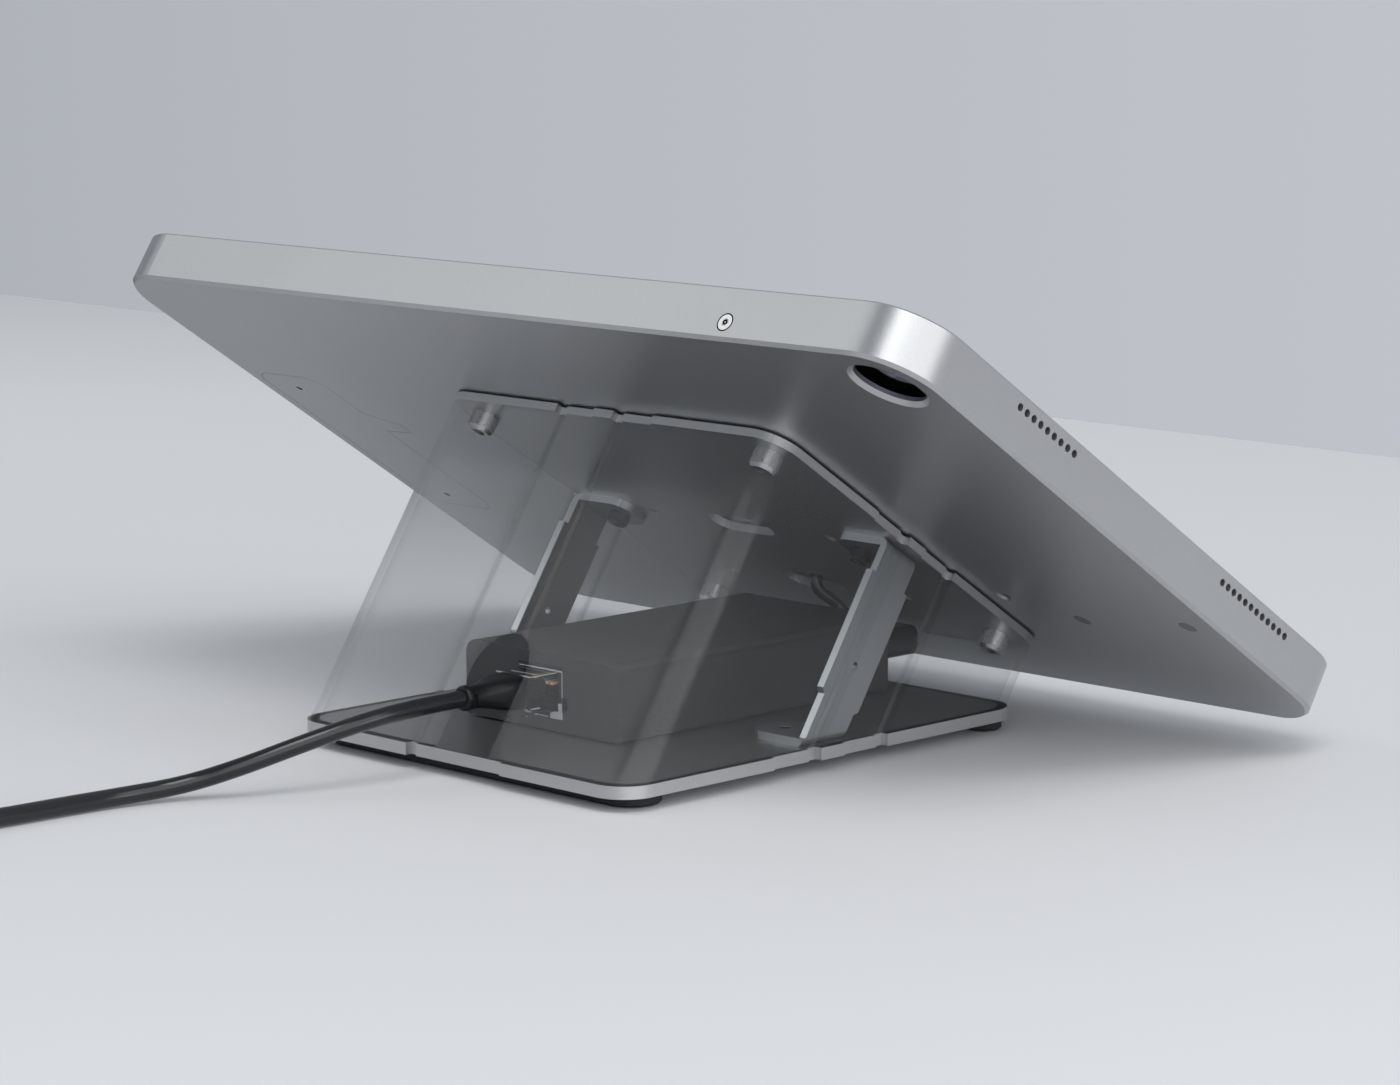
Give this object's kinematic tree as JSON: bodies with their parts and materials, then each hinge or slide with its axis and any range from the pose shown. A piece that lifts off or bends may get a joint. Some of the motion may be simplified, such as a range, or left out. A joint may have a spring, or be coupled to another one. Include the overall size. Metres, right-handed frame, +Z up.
{
  "type": "tablet desk stand",
  "caption": "Sloped desk stand that holds a tablet in a metal housing over a see-through cable cover with a network power adapter and its cord.",
  "frame": {"origin": "on the table, under the middle of the stand without its cord", "axes": "+Z up, the screen faces -Y and up, +X to the viewer's right of the screen"},
  "size_m": [0.271, 0.3641, 0.1181],
  "materials": {
    "silver_housing": "bead blasted",
    "frame_silver": "satin silver",
    "tablet_metal": "satin",
    "screen": "polished black",
    "lens_ring": "satin dark",
    "lens": "coated",
    "foam": "foam",
    "steel": "satin",
    "black_screw": "black oxide",
    "dark_plug": "matte",
    "white_plastic": "satin white",
    "black_plastic": "matte black",
    "plate_grey": "satin grey",
    "bracket_grey": "satin grey",
    "rubber_black": "matte",
    "clear_cover": "clear",
    "adapter_grey": "fine texture",
    "board_green": "solder mask",
    "tape_black": "adhesive foam",
    "jack_black": "moulded",
    "gold": "plated",
    "wound_core": "tape wrapped",
    "can": "sleeved can",
    "clear_plug": "clear",
    "wire_colours": "insulated",
    "cord_black": "glossy jacket"
  },
  "bodies": {
    "stand": {"housing_shell": "silver_housing", "front_frame": "frame_silver", "tablet_body": "tablet_metal", "screen_glass": "screen", "camera_ring": "lens_ring", "camera_lens": "lens", "tablet_pads": "foam", "access_panel": "silver_housing", "access_screws": "steel", "rear_plugs": "dark_plug", "lock_screw": "steel", "lock_block": "steel", "entry_block": "black_plastic", "flat_lead": "black_plastic", "charge_plug": "white_plastic", "sloped_plate": "plate_grey", "plate_screws": "steel", "plate_nuts": "steel", "spacing_washers": "steel", "bracket_left": "bracket_grey", "bracket_right": "bracket_grey", "bracket_screws": "black_screw", "foot_screws": "black_screw", "base_plate": "plate_grey", "rubber_feet": "rubber_black", "cable_cover": "clear_cover", "adapter_case": "adapter_grey", "adapter_floor": "adapter_grey", "adapter_tape": "tape_black", "adapter_board": "board_green", "network_jack": "jack_black", "jack_springs": "gold", "coil_block": "wound_core", "capacitors": "can", "power_socket": "black_plastic", "power_plug": "black_plastic", "power_lead": "cord_black", "network_cord": "cord_black", "cord_coil": "cord_black", "plug_body": "clear_plug", "plug_contacts": "gold", "plug_wires": "wire_colours", "plug_jacket": "cord_black", "plug_boot": "cord_black", "far_plug_body": "clear_plug", "far_plug_contacts": "gold", "far_plug_wires": "wire_colours", "far_plug_jacket": "cord_black", "far_plug_boot": "cord_black"},
    "plug_latch": {"plug_latch": "clear_plug"},
    "far_plug_latch": {"far_plug_latch": "clear_plug"}
  },
  "joints": [
    {"name": "plug_latch_press", "type": "hinge", "parent": "stand", "child": "plug_latch", "pos_m": [-0.0032, 0.0438, 0.01265], "axis": [1, 0, 0], "range_deg": [0, 5], "stiffness_Nm_per_rad": 0.02},
    {"name": "far_plug_latch_press", "type": "hinge", "parent": "stand", "child": "far_plug_latch", "pos_m": [0.0302, 0.2765, 0.0115], "axis": [1, 0, 0], "range_deg": [0, 5], "stiffness_Nm_per_rad": 0.02}
  ]
}
